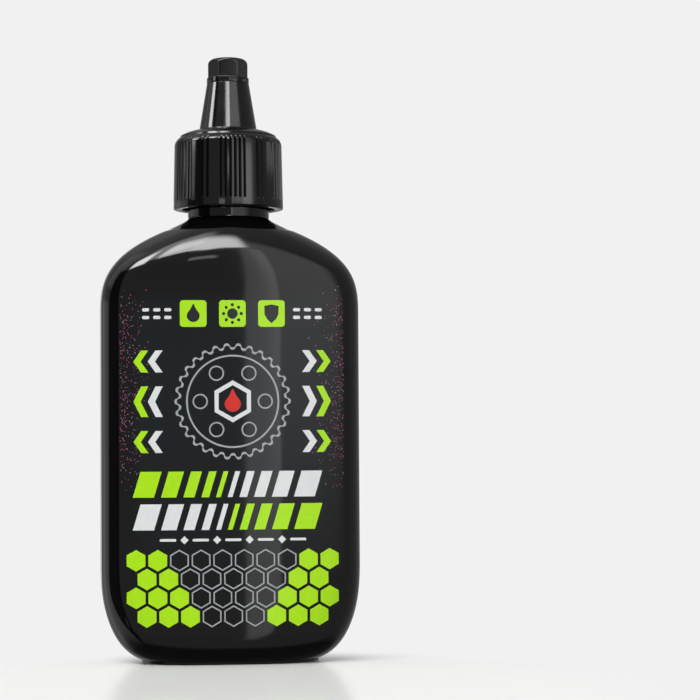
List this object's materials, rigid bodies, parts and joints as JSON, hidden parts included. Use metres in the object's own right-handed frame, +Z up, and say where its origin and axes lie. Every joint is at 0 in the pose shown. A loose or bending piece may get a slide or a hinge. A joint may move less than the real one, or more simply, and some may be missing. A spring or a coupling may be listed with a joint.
{
  "type": "chain lube bottle",
  "caption": "Flat oval squeeze bottle for chain lube, with a threaded neck, a ribbed screw cap with a conical spout, and a small hexagonal cap on its tip.",
  "frame": {"origin": "middle of the foot, on the surface that the bottle stands on", "axes": "+Z up through the neck and spout, X across the body's width, -Y out of the labelled front"},
  "size_m": [0.0552, 0.0282, 0.1294],
  "materials": {
    "bottle_plastic": "glossy black blown polyethylene",
    "label_film": "glossy charcoal film with a white, lime, pink and silver print",
    "foam_liner": "white foamed polyethylene",
    "cap_plastic": "semi-gloss black moulded polypropylene",
    "tip_plastic": "semi-gloss black moulded polypropylene"
  },
  "bodies": {
    "bottle": {"bottle": "bottle_plastic", "label": "label_film"},
    "liner": {"liner": "foam_liner"},
    "spout_cap": {"spout_cap": "cap_plastic"},
    "tip_seal": {"tip_seal": "foam_liner"},
    "tip_cap": {"tip_cap": "tip_plastic"}
  },
  "joints": [
    {"name": "cap_lift", "type": "slide", "parent": "bottle", "child": "liner", "axis": [0, 0, 1], "range_m": [0, 0.00953]},
    {"name": "cap_turn", "type": "hinge", "parent": "liner", "child": "spout_cap", "pos_m": [0, 0, 0.1], "axis": [0, 0, 1], "range_deg": [0, 1080.5]},
    {"name": "tip_lift", "type": "slide", "parent": "spout_cap", "child": "tip_seal", "axis": [0, 0, 1], "range_m": [0, 0.003]},
    {"name": "tip_turn", "type": "hinge", "parent": "tip_seal", "child": "tip_cap", "pos_m": [0, 0, 0.126], "axis": [0, 0, 1], "range_deg": [0, 900.5]}
  ],
  "couplings": [
    {"joint": "cap_turn", "follows": "cap_lift", "rad_per_m": 1979},
    {"joint": "tip_turn", "follows": "tip_lift", "rad_per_m": 5236}
  ]
}
